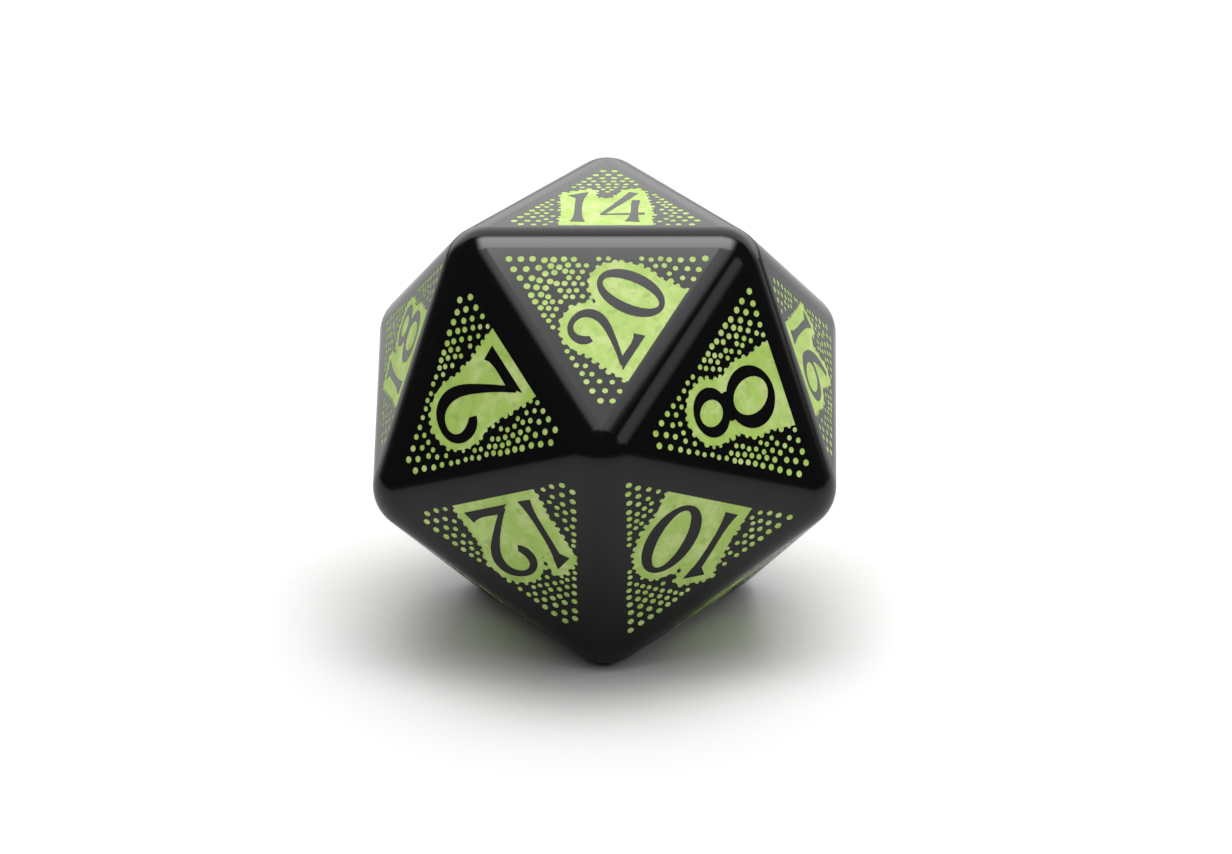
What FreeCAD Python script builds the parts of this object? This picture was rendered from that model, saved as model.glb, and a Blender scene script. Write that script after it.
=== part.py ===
"""Rounded twenty-sided die with engraved, paint-filled numerals.

The die is one solid moulding, die_body, plus twenty thin paint fills, paint_01 to paint_20, one
lying in the engraving of each face.  Sizes are in millimetres and degrees.  The die rests on face 7
with face 14 on top; the origin is on the floor, under the middle of the die, and +Z is up.
"""
import FreeCAD, Part
import math
import os
import random

import Sketcher
from FreeCAD import Placement, Rotation, Vector

# Main sizes of the die.
SIZES = {
    "across_flats": 20.0,
    "edge_radius": 2.0,
    "engrave_depth": 0.25,
    "paint_thickness": 0.24,
    # heights of the numerals and the place of their base line, from the middle of the face
    "single_height": 4.60,
    "pair_height": 4.00,
    "wide_pair_height": 3.35,
    "digit_gap": 0.52,
    "base_line": -2.42,
    # the painted field round a numeral, and the lowest line it reaches
    "field_border": 0.37,
    "field_floor": -2.92,
    "field_inset": 0.12,
    # the dotted pattern in the corners of a face
    "pattern_side": 8.90,
    "pattern_floor": -2.80,
    "pitch_at_corner": 0.57,
    "pitch_at_field": 0.38,
    "dot_at_corner": 0.31,
    "dot_at_field": 0.225,
    "dot_clearance": 0.07,
    # fixed angles of a regular icosahedron standing on a face: how far the other faces lean from
    # the upright axis, and how far the middle faces swing from the three main directions
    "tilt_near": math.degrees(math.acos(math.sqrt(5) / 3)),
    "tilt_far": math.degrees(math.acos(1 / 3)),
    "swing": 60 - math.degrees(math.atan(math.sqrt(0.6))),
}

# Distance between opposite faces of a regular icosahedron whose edge is one.
FLATS_PER_EDGE = 3 ** -0.5 * (3 + math.sqrt(5)) / 2

# The twelve corners stand in four rings of three, named by ring and compass angle.  Each face is
# given by its three corners, and its numeral stands with its top toward the first of them.
FACES = {
    1: ("base30", "lower90", "base150"),
    2: ("lower210", "top210", "upper270"),
    3: ("lower330", "upper30", "base30"),
    4: ("upper150", "top210", "top90"),
    5: ("lower210", "upper150", "base150"),
    6: ("upper30", "top330", "top90"),
    7: ("base270", "base30", "base150"),
    8: ("upper270", "top330", "lower330"),
    9: ("top90", "upper30", "lower90"),
    10: ("base270", "lower330", "upper270"),
    11: ("top90", "upper150", "lower90"),
    12: ("base270", "lower210", "upper270"),
    13: ("lower90", "base150", "upper150"),
    14: ("top90", "top210", "top330"),
    15: ("lower210", "base270", "base150"),
    16: ("upper30", "top330", "lower330"),
    17: ("lower330", "base270", "base30"),
    18: ("upper150", "top210", "lower210"),
    19: ("upper30", "lower90", "base30"),
    20: ("top210", "top330", "upper270"),
}

# The digits, in parts of the numeral height, from the lower left corner of the digit.
# A stroke is a list of stations (x, y, half width); an oval is (x, y, x radius, y radius, lean);
# a wedge is a straight-sided outline.  Holes are ovals taken out again.  A cover is the plain shape
# that the painted field follows round the digit.
DIGITS = {
    "0": {
        "width": 0.62,
        "ovals": [(0.31, 0.50, 0.31, 0.50, 0)],
        "holes": [(0.31, 0.50, 0.165, 0.42, 3)],
        "cover_ovals": [(0.31, 0.50, 0.31, 0.50)],
    },
    "1": {
        "width": 0.235,
        "strokes": [
            [(0.155, 0.93, 0.056), (0.133, 0.72, 0.047), (0.125, 0.45, 0.042),
             (0.125, 0.20, 0.050), (0.122, 0.00, 0.088)],
        ],
        "wedges": [[(0.00, 0.885), (0.085, 0.80), (0.20, 0.82), (0.235, 1.00)]],
        "cover_wedges": [[(0.00, 0.88), (0.04, 0.00), (0.20, 0.00), (0.235, 1.00)]],
    },
    "2": {
        "width": 0.606,
        "strokes": [
            [(0.205, 0.610, 0.046), (0.120, 0.715, 0.062), (0.127, 0.850, 0.050),
             (0.220, 0.944, 0.040), (0.352, 0.958, 0.042), (0.490, 0.885, 0.058),
             (0.545, 0.752, 0.067), (0.505, 0.579, 0.060), (0.382, 0.394, 0.046),
             (0.220, 0.197, 0.035), (0.070, 0.040, 0.028)],
        ],
        "wedges": [[(0.00, 0.00), (0.606, 0.00), (0.56, 0.16), (0.50, 0.125), (0.40, 0.108),
                    (0.16, 0.115)]],
        "cover_ovals": [(0.33, 0.70, 0.28, 0.30)],
        "cover_wedges": [[(0.00, 0.00), (0.606, 0.00), (0.56, 0.55), (0.08, 0.55)]],
    },
    "3": {
        "width": 0.54,
        "strokes": [
            [(0.05, 0.785, 0.050), (0.09, 0.890, 0.043), (0.21, 0.960, 0.037),
             (0.34, 0.915, 0.052), (0.39, 0.780, 0.060), (0.33, 0.630, 0.048),
             (0.17, 0.555, 0.030)],
            [(0.17, 0.555, 0.030), (0.33, 0.530, 0.045), (0.46, 0.400, 0.064),
             (0.46, 0.210, 0.064), (0.34, 0.070, 0.050), (0.19, 0.040, 0.040),
             (0.06, 0.125, 0.054)],
        ],
        "cover_ovals": [(0.23, 0.76, 0.22, 0.24), (0.27, 0.29, 0.27, 0.29)],
    },
    "4": {
        "width": 0.53,
        "strokes": [
            [(0.385, 0.975, 0.056), (0.300, 0.790, 0.050), (0.165, 0.510, 0.038),
             (0.035, 0.255, 0.026)],
            [(0.010, 0.245, 0.025), (0.250, 0.250, 0.025), (0.520, 0.270, 0.036)],
            [(0.415, 0.720, 0.047), (0.403, 0.470, 0.043), (0.398, 0.200, 0.050),
             (0.380, 0.000, 0.088)],
        ],
        "cover_wedges": [[(0.00, 0.22), (0.28, 0.00), (0.47, 0.00), (0.53, 0.26), (0.46, 0.74),
                          (0.42, 1.00), (0.33, 1.00)]],
    },
    "5": {
        "width": 0.54,
        "strokes": [
            [(0.105, 0.925, 0.044), (0.290, 0.932, 0.044), (0.470, 0.955, 0.060)],
            [(0.145, 0.925, 0.038), (0.122, 0.750, 0.035), (0.112, 0.560, 0.036)],
            [(0.085, 0.565, 0.030), (0.220, 0.605, 0.042), (0.375, 0.550, 0.056),
             (0.465, 0.385, 0.068), (0.435, 0.180, 0.062), (0.305, 0.060, 0.047),
             (0.160, 0.042, 0.040), (0.050, 0.125, 0.054)],
        ],
        "cover_ovals": [(0.27, 0.31, 0.27, 0.31)],
        "cover_wedges": [[(0.07, 0.45), (0.48, 0.45), (0.48, 0.99), (0.09, 0.96)]],
    },
    "6": {
        "width": 0.59,
        "strokes": [
            [(0.445, 0.975, 0.036), (0.330, 0.895, 0.044), (0.200, 0.745, 0.058),
             (0.110, 0.560, 0.066), (0.068, 0.320, 0.060)],
        ],
        "ovals": [(0.295, 0.290, 0.295, 0.290, 0)],
        "holes": [(0.305, 0.288, 0.170, 0.222, 8)],
        "cover_ovals": [(0.295, 0.29, 0.295, 0.29)],
        "cover_wedges": [[(0.03, 0.35), (0.40, 0.45), (0.48, 0.98), (0.40, 1.00), (0.10, 0.72)]],
    },
    "7": {
        "width": 0.56,
        "strokes": [
            [(0.03, 0.875, 0.085), (0.12, 0.925, 0.048), (0.30, 0.930, 0.042),
             (0.54, 0.945, 0.046)],
            [(0.515, 0.935, 0.038), (0.400, 0.700, 0.043), (0.285, 0.430, 0.050),
             (0.205, 0.200, 0.060), (0.165, 0.000, 0.085)],
        ],
        "cover_wedges": [[(0.00, 0.80), (0.08, 0.00), (0.26, 0.00), (0.56, 0.90), (0.56, 0.99),
                          (0.00, 0.96)]],
    },
    "8": {
        "width": 0.625,
        "ovals": [(0.329, 0.786, 0.250, 0.214, 0), (0.3125, 0.290, 0.3125, 0.290, 0),
                  (0.316, 0.570, 0.150, 0.100, 0)],
        "holes": [(0.322, 0.792, 0.130, 0.140, 20), (0.322, 0.286, 0.176, 0.220, 14)],
        "cover_ovals": [(0.329, 0.786, 0.25, 0.214), (0.3125, 0.29, 0.3125, 0.29),
                        (0.32, 0.56, 0.22, 0.20)],
    },
}
# A nine is a six turned upside down.
TURNED = {"9": "6"}
# How far the engraving of a face sits off its middle, to the right and up the numeral.
OFF_CENTRE = {
    2: (-0.10, 0.20),
    8: (-0.30, 0.00),
    10: (0.00, 0.15),
    12: (0.05, 0.00),
    14: (0.10, 0.10),
    16: (0.25, 0.20),
    18: (0.25, 0.10),
}
# A dot after these numerals tells them apart when the die is turned round.
MARKED = (6, 9)
MARK_RADIUS = 0.22
MARK_GAP = 0.38

# The field has a broad foot under the numeral: how high it reaches, in numeral heights, how far it
# spreads under a single digit, and how much it narrows upward.
FOOT_HEIGHT = 0.25
FOOT_SPREAD = 0.25
FOOT_LEAN = 0.10
# Between two digits the field is filled by a block: its height, in numeral heights, and how far it
# keeps from the sides of the field at its foot and at its top.
BLOCK_HEIGHT = 0.80
BLOCK_INSETS = (0.90, 1.10)
# The uneven rim of the field, all but the lowest part of it.
BUMP_PITCH = 0.40
BUMP_RADIUS = (0.09, 0.16)
BUMP_REACH = 0.09
SMOOTH_FOOT = 0.06

# The dots: how uneven their places are, how much closer each row is than the one before it, and
# the distance from the field at which they have their full size.
SEED = 20
DOT_JITTER = 0.045
PITCH_STEP = 0.035
FULL_DOT_DISTANCE = 1.60


def make_sheet(doc):
    """The spreadsheet that holds every size, under its own name."""
    sheet = doc.addObject("Spreadsheet::Sheet", "sizes")
    for row, (name, value) in enumerate(SIZES.items(), start=1):
        sheet.set(f"A{row}", name)
        sheet.set(f"B{row}", f"{value:.15g}")
        sheet.setAlias(f"B{row}", name)
    doc.recompute()
    return sheet


def origin_plane(body, role):
    """One of a body's own reference planes or axes."""
    return next(item for item in body.Origin.OriginFeatures if item.Role == role)


def add_square(sketch, side, expression):
    """A square centred on the sketch origin, its side tied to the sheet."""
    half = side / 2
    corners = [Vector(-half, -half), Vector(half, -half), Vector(half, half), Vector(-half, half)]
    for index, corner in enumerate(corners):
        sketch.addGeometry(Part.LineSegment(corner, corners[(index + 1) % 4]), False)
    for index in range(4):
        sketch.addConstraint(Sketcher.Constraint("Coincident", index, 2, (index + 1) % 4, 1))
    for index, direction in enumerate(("Horizontal", "Vertical", "Horizontal", "Vertical")):
        sketch.addConstraint(Sketcher.Constraint(direction, index))
    sketch.addConstraint(Sketcher.Constraint("Symmetric", 0, 1, 2, 1, -1, 1))
    for line, name in ((0, "width"), (1, "depth")):
        number = sketch.addConstraint(Sketcher.Constraint("Distance", line, side))
        sketch.renameConstraint(number, name)
        sketch.setExpression(f"Constraints.{name}", expression)


def flat_cut(doc, body, name, tilt, compass, sign):
    """Cut away what lies beyond three faces, a third of a turn apart.

    The plane of the first leans by tilt from level and faces up toward the compass angle.  With
    sign +1 it lies above the middle of the die, with sign -1 below it.
    """
    before = body.Shape.Volume
    sketch = body.newObject("Sketcher::SketchObject", f"{name}_plane")
    sketch.AttachmentSupport = [(origin_plane(body, "XY_Plane"), "")]
    sketch.MapMode = "FlatFace"
    reach = f"{sign} * (sizes.across_flats / 2 - sizes.edge_radius)"
    middle = "sizes.across_flats / 2"
    sketch.setExpression(".AttachmentOffset.Base.x", f"{reach} * sin({tilt}) * cos({compass})")
    sketch.setExpression(".AttachmentOffset.Base.y", f"{reach} * sin({tilt}) * sin({compass})")
    sketch.setExpression(".AttachmentOffset.Base.z", f"{middle} + {reach} * cos({tilt})")
    sketch.setExpression(".AttachmentOffset.Rotation.Yaw", compass)
    sketch.setExpression(".AttachmentOffset.Rotation.Pitch", tilt)
    add_square(sketch, 2 * SIZES["across_flats"], "2 * sizes.across_flats")
    pocket = body.newObject("PartDesign::Pocket", name)
    pocket.Profile = sketch
    pocket.Reversed = sign > 0
    pocket.setExpression("Length", "sizes.across_flats")
    doc.recompute()
    pattern = body.newObject("PartDesign::PolarPattern", f"{name}_pattern")
    pattern.Originals = [pocket]
    pattern.Axis = (origin_plane(body, "Z_Axis"), [""])
    pattern.Angle = 360
    body.Tip = pattern
    pattern.Occurrences = 3
    doc.recompute()
    if not body.Shape.Volume < before:
        raise RuntimeError(f"{name} cut nothing")


def make_core(doc):
    """The sharp icosahedron that lies one edge radius inside the finished faces."""
    body = doc.addObject("PartDesign::Body", "core")
    sketch = body.newObject("Sketcher::SketchObject", "blank_plane")
    sketch.AttachmentSupport = [(origin_plane(body, "XY_Plane"), "")]
    sketch.MapMode = "FlatFace"
    sketch.setExpression(".AttachmentOffset.Base.z", "sizes.edge_radius")
    add_square(sketch, 2 * SIZES["across_flats"], "2 * sizes.across_flats")
    slab = body.newObject("PartDesign::Pad", "slab")
    slab.Profile = sketch
    slab.setExpression("Length", "sizes.across_flats - 2 * sizes.edge_radius")
    doc.recompute()
    planes = (
        ("near", "sizes.tilt_near * 1 deg", "-90 deg"),
        ("left", "sizes.tilt_far * 1 deg", "(90 - sizes.swing) * 1 deg"),
        ("right", "sizes.tilt_far * 1 deg", "(90 + sizes.swing) * 1 deg"),
    )
    for name, tilt, compass in planes:
        flat_cut(doc, body, f"upper_{name}_cut", tilt, compass, 1)
        flat_cut(doc, body, f"lower_{name}_cut", tilt, compass, -1)
    return body


def corner_points(across_flats):
    """The twelve sharp corners of the die, by ring and compass angle."""
    edge = across_flats / FLATS_PER_EDGE
    half = across_flats / 2
    cap_radius = edge / math.sqrt(3)
    ball_radius = math.hypot(cap_radius, half)
    ring_level = half - cap_radius
    ring_radius = math.sqrt(ball_radius ** 2 - ring_level ** 2)
    rings = {
        "top": (cap_radius, half, 90),
        "upper": (ring_radius, ring_level, 30),
        "lower": (ring_radius, -ring_level, 90),
        "base": (cap_radius, -half, 30),
    }
    points = {}
    for ring, (radius, level, start) in rings.items():
        for compass in (start, start + 120, start + 240):
            turn = math.radians(compass)
            points[f"{ring}{compass}"] = Vector(radius * math.cos(turn), radius * math.sin(turn),
                                                half + level)
    return points


def face_placement(corners, centre, depth):
    """The frame of one face, sunk by depth: X to the right and Y up the numeral, Z outward."""
    middle = (corners[0] + corners[1] + corners[2]) / 3
    outward = (middle - centre).normalize()
    upward = (corners[0] - middle).normalize()
    right = upward.cross(outward)
    return Placement(middle - outward * depth, Rotation(right, upward, outward, "ZXY")), outward


def filled(wire):
    """The flat face inside a closed outline, always facing up."""
    face = Part.Face(wire)
    if face.normalAt(0, 0).z < 0:
        face.reverse()
    return face


def oval_face(x, y, x_radius, y_radius, lean=0.0):
    """A filled oval, leaning to the left by the given angle."""
    turn = math.radians(lean)
    middle = Vector(x, y)
    across = Vector(math.cos(turn), math.sin(turn)) * x_radius
    along = Vector(-math.sin(turn), math.cos(turn)) * y_radius
    if abs(x_radius - y_radius) < 1e-6:
        curve = Part.Circle(middle, Vector(0, 0, 1), x_radius)
    elif x_radius > y_radius:
        curve = Part.Ellipse(middle + across, middle + along, middle)
    else:
        curve = Part.Ellipse(middle + along, middle - across, middle)
    return filled(Part.Wire(curve.toShape()))


def wedge_face(points):
    """A filled straight-sided outline."""
    corners = [Vector(x, y) for x, y in points]
    return filled(Part.makePolygon(corners + corners[:1]))


def stroke_face(stations):
    """A filled stroke whose width changes from station to station, cut square at both ends."""
    spine = Part.BSplineCurve()
    spine.interpolate([Vector(x, y) for x, y, _ in stations])
    sides = {1: [], -1: []}
    for x, y, half in stations:
        point = Vector(x, y)
        along = spine.tangent(spine.parameter(point))[0]
        aside = Vector(-along.y, along.x) * half
        for sign, side in sides.items():
            side.append(point + aside * sign)
    edges = []
    for side in sides.values():
        curve = Part.BSplineCurve()
        curve.interpolate(side)
        edges.append(curve.toShape())
    for end in (0, -1):
        edges.append(Part.makeLine(sides[1][end], sides[-1][end]))
    return filled(Part.Wire(Part.__sortEdges__(edges)))


def united(faces):
    """Several overlapping flat faces merged."""
    if len(faces) == 1:
        return faces[0]
    return faces[0].multiFuse(faces[1:]).removeSplitter()


def scaled(items, size):
    """Points, stations or ovals of a digit brought to size; a fifth value, the lean, is kept."""
    return [[value * size for value in item[:4]] + list(item[4:]) for item in items]


def digit_faces(digit, size, border):
    """The filled shape of one digit, and the shapes that the field covers round it."""
    drawn = DIGITS[TURNED.get(digit, digit)]
    parts = [oval_face(*oval) for oval in scaled(drawn.get("ovals", []), size)]
    if parts:
        holes = [oval_face(*hole) for hole in scaled(drawn["holes"], size)]
        parts = [united(parts).cut(holes)]
    parts += [stroke_face(stroke) for stroke in map(scaled_to(size), drawn.get("strokes", []))]
    parts += [wedge_face(wedge) for wedge in map(scaled_to(size), drawn.get("wedges", []))]
    covers = []
    for x, y, x_radius, y_radius in scaled(drawn.get("cover_ovals", []), size):
        covers.append(oval_face(x, y, x_radius + border, y_radius + border))
    for wedge in map(scaled_to(size), drawn.get("cover_wedges", [])):
        grown = wedge_face(wedge).makeOffset2D(border)
        covers.append(filled(grown.Wires[0]))
    figure = united(parts)
    if digit in TURNED:
        for shape in [figure] + covers:
            shape.rotate(Vector(drawn["width"] * size / 2, size / 2, 0), Vector(0, 0, 1), 180)
    return figure, covers, drawn["width"] * size


def scaled_to(size):
    """A function that brings the points of one outline to size."""
    return lambda items: scaled(items, size)


def triangle_face(inradius):
    """An upright equilateral triangle round the middle of a face, its sides at inradius."""
    far = 2 * inradius
    wide = math.sqrt(3) * inradius
    return wedge_face([(-wide, -inradius), (wide, -inradius), (0, far)])


def numeral_layout(number, size_of):
    """The figure of a whole numeral and the plain field behind it."""
    digits = str(number)
    if len(digits) == 1:
        height = size_of("single_height")
    elif "1" in digits:
        height = size_of("pair_height")
    else:
        height = size_of("wide_pair_height")
    border = size_of("field_border")
    gap = size_of("digit_gap")
    base = size_of("base_line")
    drawn = [digit_faces(digit, height, border) for digit in digits]
    total = sum(width for _, _, width in drawn) + gap * (len(digits) - 1)
    reach = -total / 2
    figures, covers = [], []
    for figure, around, width in drawn:
        for shape in [figure] + around:
            shape.translate(Vector(reach, base, 0))
        figures.append(figure)
        covers += around
        reach += width + gap
    left, right = -total / 2 - border, total / 2 + border
    if number in MARKED:
        figures.append(oval_face(total / 2 + MARK_GAP, base + MARK_RADIUS, MARK_RADIUS, MARK_RADIUS))
        right += MARK_GAP + MARK_RADIUS
    floor = size_of("field_floor")
    spread = FOOT_SPREAD if len(digits) == 1 else 0.0
    foot_top = base + FOOT_HEIGHT * height
    covers.append(wedge_face([(left - spread, floor), (right + spread, floor),
                              (right - FOOT_LEAN, foot_top), (left + FOOT_LEAN, foot_top)]))
    if len(digits) == 2:
        low, high = BLOCK_INSETS
        block_top = base + BLOCK_HEIGHT * height
        covers.append(wedge_face([(left + low, floor), (right - low, floor),
                                  (right - high, block_top), (left + high, block_top)]))
    field = united(covers)
    half = size_of("across_flats")
    allowed = wedge_face([(-half, floor), (half, floor), (half, half), (-half, half)])
    return figures, largest_face(field.common(allowed))


def largest_face(shape):
    """The biggest of the faces of a shape."""
    return max(shape.Faces, key=lambda face: face.Area)


def bumps_along(field, floor, dice):
    """Small discs strung along the edge of the field, all but its straight foot."""
    bumps = []
    length = field.OuterWire.Length
    count = int(length / BUMP_PITCH)
    for point in field.OuterWire.discretize(count + 1)[:-1]:
        if point.y < floor + SMOOTH_FOOT:
            continue
        turn = dice.uniform(0, 2 * math.pi)
        reach = dice.uniform(0, BUMP_REACH)
        bumps.append(oval_face(point.x + reach * math.cos(turn), point.y + reach * math.sin(turn),
                               *[dice.uniform(*BUMP_RADIUS)] * 2))
    return bumps


def dot_places(size_of, dice):
    """Centres of the dots: rows across each corner of the pattern, closer toward the field.

    The outermost row has one dot in some corners and two in the others.
    """
    side = size_of("pattern_side")
    floor = size_of("pattern_floor")
    corners = [Vector(-side / 2, floor), Vector(side / 2, floor),
               Vector(0, floor + side * math.sqrt(3) / 2)]
    middle = (corners[0] + corners[1] + corners[2]) / 3
    places = []
    for corner in corners:
        inward = (middle - corner).normalize()
        sideways = Vector(-inward.y, inward.x)
        pitch = size_of("pitch_at_corner")
        depth = dice.choice((0, 1, 1)) * pitch * math.sqrt(3) / 2
        while depth < side / math.sqrt(3):
            width = 2 * depth * math.tan(math.radians(30))
            gaps = round(width / pitch)
            for index in range(gaps + 1):
                along = (index / gaps - 0.5) * width if gaps else 0.0
                place = corner + inward * depth + sideways * along
                place += Vector(dice.uniform(-1, 1), dice.uniform(-1, 1)) * DOT_JITTER
                if min(corners, key=place.distanceToPoint) == corner:
                    places.append(place)
            depth += pitch * math.sqrt(3) / 2
            pitch = max(pitch - PITCH_STEP, size_of("pitch_at_field"))
    return places


def dot_faces(field, size_of, dice):
    """The dots that stand clear of the field, smaller the nearer they are to it."""
    small, large = size_of("dot_at_field") / 2, size_of("dot_at_corner") / 2
    clearance = size_of("dot_clearance")
    dots, kept = [], []
    for place in dot_places(size_of, dice):
        gap = field.distToShape(Part.Vertex(place))[0]
        radius = small + (large - small) * min(gap / FULL_DOT_DISTANCE, 1)
        clear_of_field = gap > radius + clearance
        if clear_of_field and all(place.distanceToPoint(other) > 2 * large for other in kept):
            dots.append(oval_face(place.x, place.y, radius, radius))
            kept.append(place)
    return dots


def face_layout(number, size_of):
    """Everything that is engraved on one face, as flat shapes in the frame of the face."""
    dice = random.Random(SEED * 100 + number)
    figures, plain = numeral_layout(number, size_of)
    bumps = bumps_along(plain, size_of("field_floor"), dice)
    flat_reach = size_of("across_flats") / 2 - size_of("edge_radius")
    flat_inradius = flat_reach / FLATS_PER_EDGE / math.sqrt(3)
    inside = triangle_face(flat_inradius - size_of("field_inset"))
    off_centre = Vector(*OFF_CENTRE.get(number, (0, 0)))
    inside.translate(off_centre * -1)
    field = largest_face(united([plain] + bumps).common(inside))
    engraved = field.cut(figures).Faces + dot_faces(field, size_of, dice)
    for face in engraved:
        face.translate(off_centre)
    return Part.makeCompound(engraved)


def engraved_surfaces(flat, layout, outward, depth):
    """One flat face of the die with its engraving: the face left standing round and inside the
    numeral, the walls of the engraving, and its floor."""
    floor = layout.Shape
    rims = floor.copy()
    rims.translate(outward * depth)
    outlines = [wire for face in rims.Faces for wire in face.Wires]
    land = Part.makeFace([flat.OuterWire] + outlines, "Part::FaceMakerBullseye")
    walls = [wall for wire in outlines for wall in wire.extrude(outward * -depth).Faces]
    return land.Faces + walls + floor.Faces


def engraved_solid(blank, layouts, centre, depth):
    """The rounded blank with every flat face exchanged for its engraved one.

    There are well over a thousand little recesses.  The skin of the die is put together from them
    and from the rounded edges and corners, then sewn and closed into a solid.
    """
    flats = [face for face in blank.Faces if isinstance(face.Surface, Part.Plane)]
    skin = [face for face in blank.Faces if not isinstance(face.Surface, Part.Plane)]
    for layout, outward in layouts:
        flat = max(flats, key=lambda face: (face.CenterOfMass - centre).dot(outward))
        skin += engraved_surfaces(flat, layout, outward, depth)
    shell = Part.Shell(skin)
    shell.sewShape()
    return Part.Solid(shell)


def add_paint(doc, number, layout, outward):
    """The paint of one face: its layout grown outward from the floor of the engraving."""
    paint = doc.addObject("Part::Extrusion", f"paint_{number:02d}")
    paint.Base = layout
    paint.DirMode = "Custom"
    paint.Dir = outward
    paint.Solid = True
    paint.setExpression("LengthFwd", "sizes.paint_thickness")
    return paint


def main():
    os.makedirs("parts", exist_ok=True)
    doc = FreeCAD.newDocument("die")
    sheet = make_sheet(doc)

    def size_of(name):
        return float(getattr(sheet, name))

    blank = doc.addObject("Part::Offset", "rounded_blank")
    blank.Source = make_core(doc)
    blank.Join = 0
    blank.setExpression("Value", "sizes.edge_radius")

    corners = corner_points(size_of("across_flats"))
    centre = Vector(0, 0, size_of("across_flats") / 2)
    depth = size_of("engrave_depth")
    layouts, nodes = [], []
    for number, names in FACES.items():
        placement, outward = face_placement([corners[name] for name in names], centre, depth)
        layout = doc.addObject("Part::Feature", f"layout_{number:02d}")
        layout.Shape = face_layout(number, size_of)
        layout.Placement = placement
        layouts.append((layout, outward))
        nodes.append(add_paint(doc, number, layout, outward))
    doc.recompute()

    body = doc.addObject("Part::Feature", "die_body")
    body.Shape = engraved_solid(blank.Shape, layouts, centre, depth)
    nodes.insert(0, body)
    doc.recompute()

    for item in doc.Objects:
        if {"Invalid", "Error"} & set(item.State):
            raise RuntimeError(f"{item.Name}: {item.State}")
    if not 0 < body.Shape.Volume < blank.Shape.Volume:
        raise RuntimeError("the engraving removed nothing")
    for node in nodes:
        node.Label = node.Name
        if node.Shape.isNull() or not node.Shape.isValid():
            raise RuntimeError(f"{node.Name} has no valid shape")
        node.Shape.exportStep(f"parts/{node.Label}.step")


main()
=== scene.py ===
"""Looks of the twenty-sided die: plastic, paint, floor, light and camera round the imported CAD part."""
import math

import bpy
from mathutils import Matrix, Vector


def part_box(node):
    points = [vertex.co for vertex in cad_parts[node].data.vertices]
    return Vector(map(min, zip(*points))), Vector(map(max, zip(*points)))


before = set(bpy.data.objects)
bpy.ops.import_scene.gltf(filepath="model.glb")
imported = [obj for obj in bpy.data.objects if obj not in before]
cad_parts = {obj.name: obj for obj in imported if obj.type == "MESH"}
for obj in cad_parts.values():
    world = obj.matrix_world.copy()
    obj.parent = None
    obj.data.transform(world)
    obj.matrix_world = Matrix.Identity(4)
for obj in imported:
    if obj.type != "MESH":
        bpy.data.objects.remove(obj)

MM = 0.001
BODY = "die_body"

# The die, as built: distance across flats and edge length of the sharp icosahedron.
FLATS_PER_EDGE = 1.511523
ACROSS_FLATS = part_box(BODY)[1][2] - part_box(BODY)[0][2]
EDGE = ACROSS_FLATS / FLATS_PER_EDGE
MIDDLE = Vector((0, 0, ACROSS_FLATS / 2))

# Camera: where it stands seen from the die, in degrees and in edge lengths, and its frame.
CAMERA_AZIMUTH = 1.13
CAMERA_ELEVATION = 20.90
CAMERA_ROLL = -0.42
CAMERA_DISTANCE = 36.0
CAMERA_AIM = (0.0337, -0.0623)
CAMERA_NEAREST = 0.01
FIELD_ACROSS = 4.279
SENSOR_WIDTH = 36.0

# Textures: size of the features, detail and roughness, as Graph.noise takes them.
PLASTIC_WAVES = (3.0 * MM, 1.0, 0.5)
PLASTIC_SMEARS = (1.6 * MM, 5.0, 0.6)
PLASTIC_TINT = (2.4 * MM, 3.0, 0.5)
PAINT_PATCHES = (1.1 * MM, 3.0, 0.6)
PAINT_SPECKS = (0.45 * MM, 3.0, 0.6)
PAINT_GRAIN = (0.07 * MM, 2.0, 0.5)
FLOOR_FIBRES = (0.8 * MM, 3.0, 0.5)

# Plastic: its colour and how dark the darkest patches are beside it, the height of its waves, how
# smears turn into roughness (low, high, roughness at low, roughness at high), and its crown, which
# is how much the polished faces bulge, in radians of lean per metre from their middle.
PLASTIC_COLOUR = (0.003, 0.003, 0.0032)
PLASTIC_DARKEST = 0.75
PLASTIC_RELIEF = 0.004 * MM
SMEARS_TO_ROUGHNESS = (0.35, 0.7, 0.055, 0.095)
PLASTIC_CROWN = 5.0
PLASTIC_IOR = 1.5

# Paint: its main green and the paler and darker ones in it; how each texture turns into a share of
# those or into roughness (low, high, result at low, result at high); its grain, made of specks and
# of finer grain, and how deep that is.
PAINT_GREEN = (0.37, 0.55, 0.098)
PAINT_PALE = (0.51, 0.64, 0.22)
PAINT_DARK = (0.24, 0.37, 0.066)
PATCHES_TO_PALE = (0.42, 0.66, 0.0, 1.0)
SPECKS_TO_DARK = (0.50, 0.76, 0.0, 0.7)
GRAIN_TO_PALE = (0.35, 0.75, 0.0, 0.3)
PATCHES_TO_ROUGHNESS = (0.3, 0.7, 0.45, 0.65)
SPECKS_IN_RELIEF = 0.7
GRAIN_IN_RELIEF = 0.3
PAINT_RELIEF = 0.02 * MM

# Floor: white paper.  The plastic mirrors it dimmer than it is, as painted shade: by a factor near the
# die, and then fading with distance in metres (from, to, share kept at the start, share kept at the
# end).
FLOOR_SIZE = 8.0
FLOOR_COLOUR = (0.68, 0.68, 0.68)
FLOOR_DARKEST = 0.985
FLOOR_RELIEF = 0.01 * MM
FLOOR_ROUGHNESS = 0.95
FLOOR_SPECULAR = 0.2
FLOOR_MIRRORED = 0.58
FLOOR_FADES = (0.02, 0.20, 1.0, 0.12)

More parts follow.
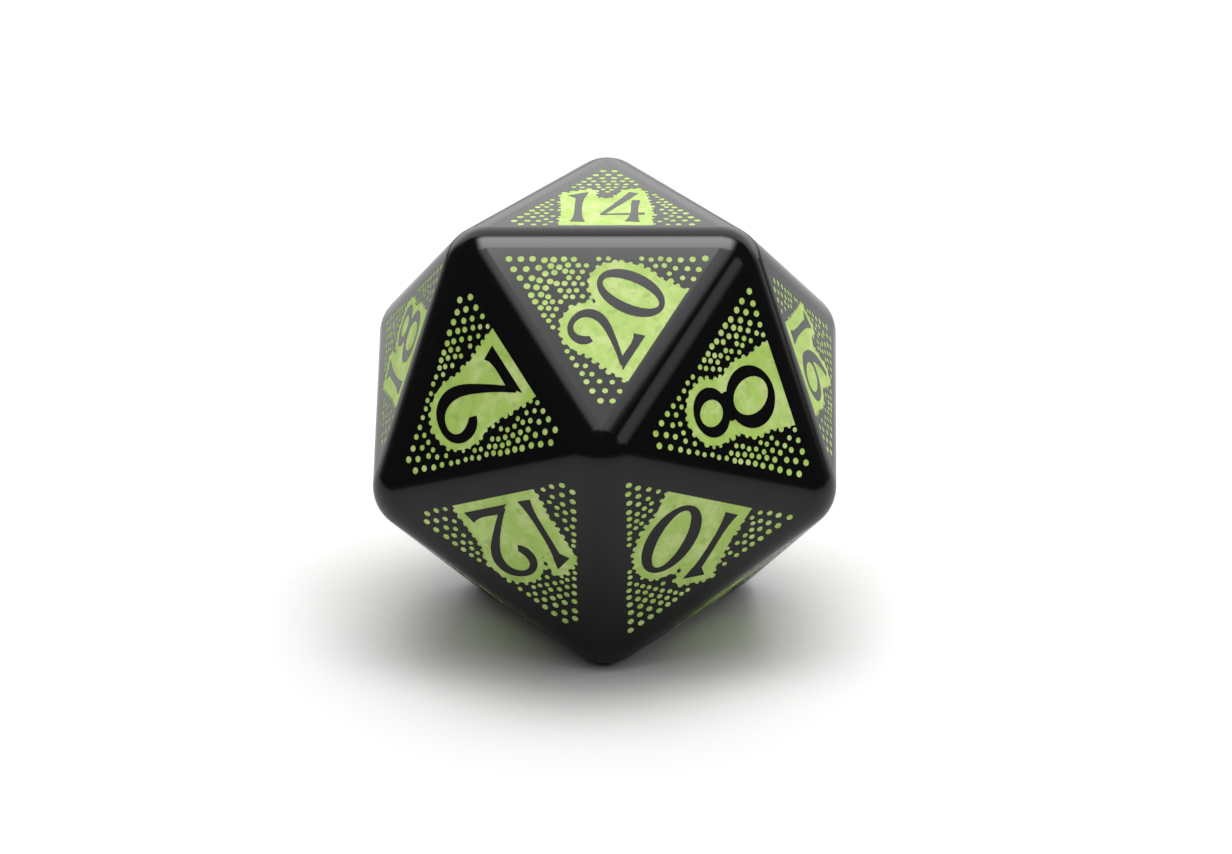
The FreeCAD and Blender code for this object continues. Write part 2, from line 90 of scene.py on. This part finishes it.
# Studio light.  The arc runs from the horizon behind the die (0 degrees) over it to the camera's
# side (180); each entry is an angle and the brightness there.
SKY_ARC = (
    (0, 0.85), (14, 1.6), (26, 1.6), (40, 1.1), (65, 0.95), (70, 4.6), (77, 6.4), (88, 6.2),
    (99, 5.3), (101.4, 4.7), (102.4, 2.7), (105, 2.0), (109, 1.7), (115, 1.3), (119, 0.3), (124, 0.05))

# Across, the arc is measured by the sideways part of a direction.  It narrows from the first half
# width to the second between two fractions of the half turn, and its sides are soft.
SKY_HALF_WIDTHS = (0.80, 0.43)
SKY_NARROWS = (45 / 180, 66 / 180)
SKY_SHIFT = 0.08
SKY_FADE = (-0.18, 0.10)
SKY_DARKEST = 0.045

# A round lamp at the right: where it is, how bright, and the cosines where it starts and is full.
LAMP_TOWARDS = (0.742, -0.440, 0.495)
LAMP_BRIGHTNESS = 0.8
LAMP_EDGE = (0.965, 0.995)

# Fill: a wide disk overhead, in metres and watts.
FILL_SIZE = 2.0
FILL_PLACE = (0.3, 0.2, 0.35)
FILL_POWER = 4.8

# What the camera itself sees of the world.
BACKDROP_WHITE = 1.0

# The sockets of Blender's mix node when it mixes colours and when it mixes numbers.
COLOUR_INPUTS, COLOUR_OUTPUT = (6, 7), 2
NUMBER_INPUTS, NUMBER_OUTPUT = (2, 3), 0

class Graph:
    """A short way to write shader nodes: most methods add one node and return its output."""

    def __init__(self, tree):
        self.tree = tree

    def add(self, kind, **settings):
        """Adds a node and returns the node itself."""
        node = self.tree.nodes.new(kind)
        for name, value in settings.items():
            setattr(node, name, value)
        return node

    def plug(self, socket, value):
        """Links a socket to another node's output, or sets it to a plain value."""
        if isinstance(value, bpy.types.NodeSocket):
            self.tree.links.new(value, socket)
        elif value is not None:
            socket.default_value = value

    def operate(self, kind, operation, values):
        """A node that does arithmetic on the values."""
        node = self.add(kind, operation=operation)
        for socket, value in zip(node.inputs, values):
            self.plug(socket, value)
        return node

    def math(self, operation, *values):
        return self.operate("ShaderNodeMath", operation, values).outputs[0]

    def vector(self, operation, *values):
        return self.operate("ShaderNodeVectorMath", operation, values).outputs["Vector"]

    def dot(self, *vectors):
        return self.operate("ShaderNodeVectorMath", "DOT_PRODUCT", vectors).outputs["Value"]

    def scale(self, vector, factor):
        node = self.operate("ShaderNodeVectorMath", "SCALE", (vector,))
        self.plug(node.inputs["Scale"], factor)
        return node.outputs["Vector"]

    def split(self, vector):
        """The three coordinates of a vector."""
        node = self.add("ShaderNodeSeparateXYZ")
        self.plug(node.inputs[0], vector)
        return node.outputs

    def noise(self, vector, size, detail, roughness):
        """Noise whose features are about size metres across."""
        node = self.add("ShaderNodeTexNoise")
        self.plug(node.inputs["Vector"], vector)
        for name, number in (("Scale", 1 / size), ("Detail", detail), ("Roughness", roughness)):
            self.plug(node.inputs[name], number)
        return node.outputs["Fac"]

    def spread(self, value, low, high, start, end, smooth=True):
        """Brings value from the range low..high to start..end, held at both ends."""
        node = self.add("ShaderNodeMapRange", clamp=True)
        node.interpolation_type = "SMOOTHSTEP" if smooth else "LINEAR"
        for name, number in (("Value", value), ("From Min", low), ("From Max", high),
                             ("To Min", start), ("To Max", end)):
            self.plug(node.inputs[name], number)
        return node.outputs[0]

    def blend(self, factor, *colours):
        """Goes from the first colour to the second as factor goes from 0 to 1."""
        node = self.add("ShaderNodeMix", data_type="RGBA")
        self.plug(node.inputs["Factor"], factor)
        for number, colour in zip(COLOUR_INPUTS, colours):
            linked = isinstance(colour, bpy.types.NodeSocket)
            self.plug(node.inputs[number], colour if linked else (*colour, 1))
        return node.outputs[COLOUR_OUTPUT]

    def choose(self, factor, *values):
        """Goes from the first number to the second as factor goes from 0 to 1."""
        node = self.add("ShaderNodeMix", data_type="FLOAT")
        self.plug(node.inputs["Factor"], factor)
        for number, value in zip(NUMBER_INPUTS, values):
            self.plug(node.inputs[number], value)
        return node.outputs[NUMBER_OUTPUT]

    def profile(self, fraction, points):
        """A brightness read off a list of (degrees, brightness) at a fraction of 180 degrees."""
        node = self.add("ShaderNodeValToRGB")
        self.plug(node.inputs[0], fraction)
        highest = max(value for _, value in points)
        stops = node.color_ramp.elements
        while len(stops) < len(points):
            stops.new(0.5)
        for stop, (degrees, value) in zip(stops, points):
            stop.position = degrees / 180
            stop.color = (*3 * (value / highest,), 1)
        return self.math("MULTIPLY", node.outputs[0], highest)

    def bump(self, height, depth, normal=None):
        """The normal of a surface with bumps depth metres high."""
        node = self.add("ShaderNodeBump")
        for name, value in (("Strength", 1.0), ("Distance", depth),
                            ("Height", height), ("Normal", normal)):
            self.plug(node.inputs[name], value)
        return node.outputs[0]

def new_material(name):
    """An empty node material, as (material, graph, its main shader)."""
    material = bpy.data.materials.new(name)
    material.use_nodes = True
    return material, Graph(material.node_tree), material.node_tree.nodes["Principled BSDF"]

def dimmed(colour, factor):
    """The colour with every channel times factor."""
    return tuple(channel * factor for channel in colour)

def plastic_material():
    """Polished black plastic: slightly crowned faces, with faint waves, smears and patches."""
    material, g, shader = new_material("gloss_black_plastic")
    geometry = g.add("ShaderNodeNewGeometry")
    place = geometry.outputs["Position"]
    normal = geometry.outputs["Normal"]
    from_middle = g.vector("SUBTRACT", place, MIDDLE)
    outward = g.scale(normal, g.dot(from_middle, normal))
    sideways = g.vector("SUBTRACT", from_middle, outward)
    crowned = g.vector("NORMALIZE", g.vector("ADD", normal, g.scale(sideways, PLASTIC_CROWN)))
    waves = g.noise(place, *PLASTIC_WAVES)
    g.plug(shader.inputs["Normal"], g.bump(waves, PLASTIC_RELIEF, crowned))
    smears = g.noise(place, *PLASTIC_SMEARS)
    g.plug(shader.inputs["Roughness"], g.spread(smears, *SMEARS_TO_ROUGHNESS))
    tint = g.noise(place, *PLASTIC_TINT)
    darker = dimmed(PLASTIC_COLOUR, PLASTIC_DARKEST)
    g.plug(shader.inputs["Base Color"], g.blend(tint, darker, PLASTIC_COLOUR))
    g.plug(shader.inputs["IOR"], PLASTIC_IOR)
    return material

def paint_material():
    """Matte lime paint that lies a little unevenly: paler and darker patches and a fine grain."""
    material, g, shader = new_material("lime_paint")
    place = g.add("ShaderNodeNewGeometry").outputs["Position"]
    patches = g.noise(place, *PAINT_PATCHES)
    specks = g.noise(place, *PAINT_SPECKS)
    grain = g.noise(place, *PAINT_GRAIN)
    colour = g.blend(g.spread(patches, *PATCHES_TO_PALE), PAINT_GREEN, PAINT_PALE)
    colour = g.blend(g.spread(specks, *SPECKS_TO_DARK), colour, PAINT_DARK)
    colour = g.blend(g.spread(grain, *GRAIN_TO_PALE), colour, PAINT_PALE)
    g.plug(shader.inputs["Base Color"], colour)
    g.plug(shader.inputs["Roughness"], g.spread(patches, *PATCHES_TO_ROUGHNESS))
    relief = g.math("ADD", g.math("MULTIPLY", specks, SPECKS_IN_RELIEF),
                    g.math("MULTIPLY", grain, GRAIN_IN_RELIEF))
    g.plug(shader.inputs["Normal"], g.bump(relief, PAINT_RELIEF))
    return material

def floor_material():
    """Matte paper, which the plastic mirrors with painted shade: dimmer, and dimmer still to the front
    and the sides.
    """
    material, g, shader = new_material("pale_paper")
    place = g.add("ShaderNodeNewGeometry").outputs["Position"]
    fibres = g.noise(place, *FLOOR_FIBRES)
    paper = g.blend(fibres, dimmed(FLOOR_COLOUR, FLOOR_DARKEST), FLOOR_COLOUR)
    across, along = g.split(place)[:2]
    forward = g.math("MINIMUM", along, 0.0)
    squares = g.math("ADD", g.math("POWER", across, 2.0), g.math("POWER", forward, 2.0))
    kept = g.spread(g.math("SQRT", squares), *FLOOR_FADES, smooth=False)
    # Painted shade: glossy rays see the paper darker, fading to black away from the die.
    painted_shade_mirror_image = g.blend(kept, (0, 0, 0), dimmed(FLOOR_COLOUR, FLOOR_MIRRORED))
    mirrored = g.add("ShaderNodeLightPath").outputs["Is Glossy Ray"]
    g.plug(shader.inputs["Base Color"], g.blend(mirrored, paper, painted_shade_mirror_image))
    g.plug(shader.inputs["Normal"], g.bump(fibres, FLOOR_RELIEF))
    g.plug(shader.inputs["Roughness"], FLOOR_ROUGHNESS)
    g.plug(shader.inputs["Specular IOR Level"], FLOOR_SPECULAR)
    return material

def dress_nodes():
    """Gives every CAD node its finish."""
    plastic, paint = plastic_material(), paint_material()
    for name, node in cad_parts.items():
        node.data.materials.clear()
        node.data.materials.append(plastic if name == BODY else paint)

def build_floor():
    """A square sheet at the height on which the die rests, not part of the object."""
    mesh = bpy.data.meshes.new("floor")
    half = FLOOR_SIZE / 2
    corners = [(-half, -half, 0), (half, -half, 0), (half, half, 0), (-half, half, 0)]
    mesh.from_pydata(corners, [], [(0, 1, 2, 3)])
    mesh.materials.append(floor_material())
    floor = bpy.data.objects.new("floor", mesh)
    bpy.context.collection.objects.link(floor)

def build_sky():
    """The surroundings that the plastic mirrors: a pale backdrop behind the die, a bright soft box
    overhead that fades towards the camera, a lamp at the right and near darkness everywhere else.
    The camera itself sees plain white."""
    world = bpy.data.worlds.new("studio")
    bpy.context.scene.world = world
    world.use_nodes = True
    g = Graph(world.node_tree)
    direction = g.add("ShaderNodeTexCoord").outputs["Generated"]
    x, y, z = g.split(direction)
    arc = g.math("MULTIPLY", g.math("ARCTAN2", z, y), 1 / math.pi)
    strip = g.profile(arc, SKY_ARC)
    half_width = g.spread(arc, *SKY_NARROWS, *SKY_HALF_WIDTHS)
    aside = g.math("ABSOLUTE", g.math("SUBTRACT", x, SKY_SHIFT))
    inside = g.spread(g.math("SUBTRACT", aside, half_width), *SKY_FADE, 1.0, 0.0)
    sky = g.math("MULTIPLY", strip, inside)
    nearness = g.dot(direction, Vector(LAMP_TOWARDS).normalized())
    sky = g.math("ADD", sky, g.spread(nearness, *LAMP_EDGE, 0.0, LAMP_BRIGHTNESS))
    sky = g.math("MAXIMUM", sky, SKY_DARKEST)
    seen = g.add("ShaderNodeLightPath").outputs["Is Camera Ray"]
    background = world.node_tree.nodes["Background"]
    g.plug(background.inputs["Color"], (1, 1, 1, 1))
    g.plug(background.inputs["Strength"], g.choose(seen, sky, BACKDROP_WHITE))

def build_fill():
    """A wide soft lamp overhead that lights the floor but isn't mirrored in the plastic."""
    lamp = bpy.data.lights.new("fill", "AREA")
    lamp.shape = "DISK"
    lamp.size = FILL_SIZE
    lamp.energy = FILL_POWER
    holder = bpy.data.objects.new("fill", lamp)
    holder.location = FILL_PLACE
    holder.visible_glossy = False
    bpy.context.collection.objects.link(holder)

def build_camera():
    """The camera at the picture's angle: it aims a little beside the middle of the die."""
    azimuth, elevation, roll = map(math.radians, (CAMERA_AZIMUTH, CAMERA_ELEVATION, CAMERA_ROLL))
    back = Vector((math.sin(azimuth) * math.cos(elevation),
                   -math.cos(azimuth) * math.cos(elevation), math.sin(elevation)))
    right = (-back).cross(Vector((0, 0, 1))).normalized()
    up = right.cross(-back)
    aim = MIDDLE + (right * CAMERA_AIM[0] + up * CAMERA_AIM[1]) * EDGE
    place = aim + back * CAMERA_DISTANCE * EDGE
    turned_right = right * math.cos(roll) + up * math.sin(roll)
    turned_up = up * math.cos(roll) - right * math.sin(roll)
    camera = bpy.data.objects.new("camera", bpy.data.cameras.new("camera"))
    bpy.context.collection.objects.link(camera)
    columns = Matrix((turned_right, turned_up, back)).transposed().to_4x4()
    camera.matrix_world = Matrix.Translation(place) @ columns
    camera.data.sensor_width = SENSOR_WIDTH
    camera.data.lens = SENSOR_WIDTH * CAMERA_DISTANCE / FIELD_ACROSS
    camera.data.clip_start = CAMERA_NEAREST
    camera.data.clip_end = 2 * FLOOR_SIZE
    bpy.context.scene.camera = camera

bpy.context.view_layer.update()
dress_nodes()
build_floor()
build_sky()
build_fill()
build_camera()
bpy.context.scene.view_settings.view_transform = "Standard"
